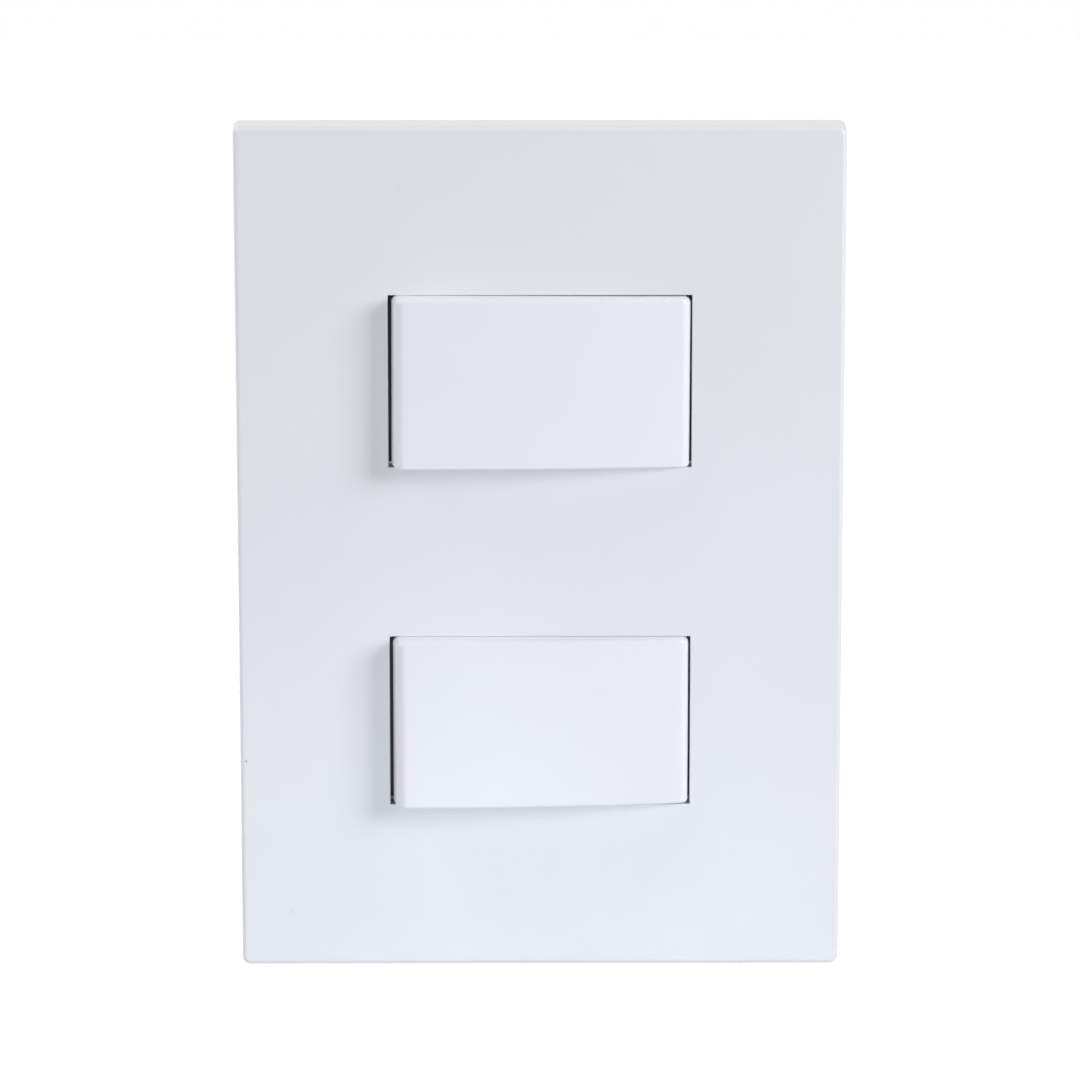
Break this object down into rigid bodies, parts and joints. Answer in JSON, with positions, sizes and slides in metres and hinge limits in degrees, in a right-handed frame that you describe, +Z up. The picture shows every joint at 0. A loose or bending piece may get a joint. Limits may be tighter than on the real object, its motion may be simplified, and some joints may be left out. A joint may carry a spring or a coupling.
{
  "type": "light switch",
  "caption": "Wall light switch: moulded face plate over a mounting frame that holds rocker modules, each with a tilting key, sprung plunger and seesaw contact.",
  "frame": {"origin": "centre of the plate's outline on the wall plane, which is the back of the frame and plate", "axes": "+Z up, +X to the right as seen from the room, +Y into the wall; the keys face -Y"},
  "size_m": [0.0856, 0.0337, 0.1196],
  "materials": {
    "plate_plastic": "satin white moulding with a very fine texture",
    "key_plastic": "smooth semi-gloss white moulding",
    "frame_plastic": "matte dark grey moulding",
    "module_plastic": "matte charcoal moulding",
    "nylon": "natural nylon",
    "spring_steel": "drawn spring wire",
    "brass": "stamped brass",
    "contact_silver": "silver alloy contact",
    "zinc_steel": "zinc plated steel"
  },
  "bodies": {
    "housing": {"face_plate": "plate_plastic", "mounting_frame": "frame_plastic", "upper_box_screw": "zinc_steel", "upper_carrier": "module_plastic", "upper_base": "module_plastic", "upper_fixed_contact": "contact_silver", "upper_common_terminal": "brass", "upper_load_terminal": "brass", "upper_common_screw": "zinc_steel", "upper_load_screw": "zinc_steel", "lower_box_screw": "zinc_steel", "lower_carrier": "module_plastic", "lower_base": "module_plastic", "lower_fixed_contact": "contact_silver", "lower_common_terminal": "brass", "lower_load_terminal": "brass", "lower_common_screw": "zinc_steel", "lower_load_screw": "zinc_steel"},
    "upper_rocker": {"upper_key": "key_plastic", "upper_spring": "spring_steel"},
    "upper_slider": {"upper_plunger": "nylon"},
    "upper_seesaw": {"upper_blade": "brass", "upper_moving_contact": "contact_silver"},
    "lower_rocker": {"lower_key": "key_plastic", "lower_spring": "spring_steel"},
    "lower_slider": {"lower_plunger": "nylon"},
    "lower_seesaw": {"lower_blade": "brass", "lower_moving_contact": "contact_silver"}
  },
  "joints": [
    {"name": "upper_key_tilt", "type": "hinge", "parent": "housing", "child": "upper_rocker", "pos_m": [0, -0.005, 0.024], "axis": [0, 0, -1], "range_deg": [0, 10]},
    {"name": "upper_plunger_slide", "type": "slide", "parent": "upper_rocker", "child": "upper_slider", "axis": [0.0872, -0.9962, 0], "range_m": [0, 0.0005], "stiffness_N_per_m": 500, "springref_m": -0.004, "deforming": ["upper_spring"]},
    {"name": "upper_blade_tilt", "type": "hinge", "parent": "housing", "child": "upper_seesaw", "pos_m": [0, 0.0079, 0.024], "axis": [0, 0, 1], "range_deg": [0, 16]},
    {"name": "lower_key_tilt", "type": "hinge", "parent": "housing", "child": "lower_rocker", "pos_m": [0, -0.005, -0.024], "axis": [0, 0, -1], "range_deg": [0, 10]},
    {"name": "lower_plunger_slide", "type": "slide", "parent": "lower_rocker", "child": "lower_slider", "axis": [0.0872, -0.9962, 0], "range_m": [0, 0.0005], "stiffness_N_per_m": 500, "springref_m": -0.004, "deforming": ["lower_spring"]},
    {"name": "lower_blade_tilt", "type": "hinge", "parent": "housing", "child": "lower_seesaw", "pos_m": [0, 0.0079, -0.024], "axis": [0, 0, 1], "range_deg": [0, 16]}
  ],
  "couplings": [
    {"joint": "upper_blade_tilt", "follows": "upper_key_tilt", "ratio": 1.6},
    {"joint": "lower_blade_tilt", "follows": "lower_key_tilt", "ratio": 1.6}
  ]
}
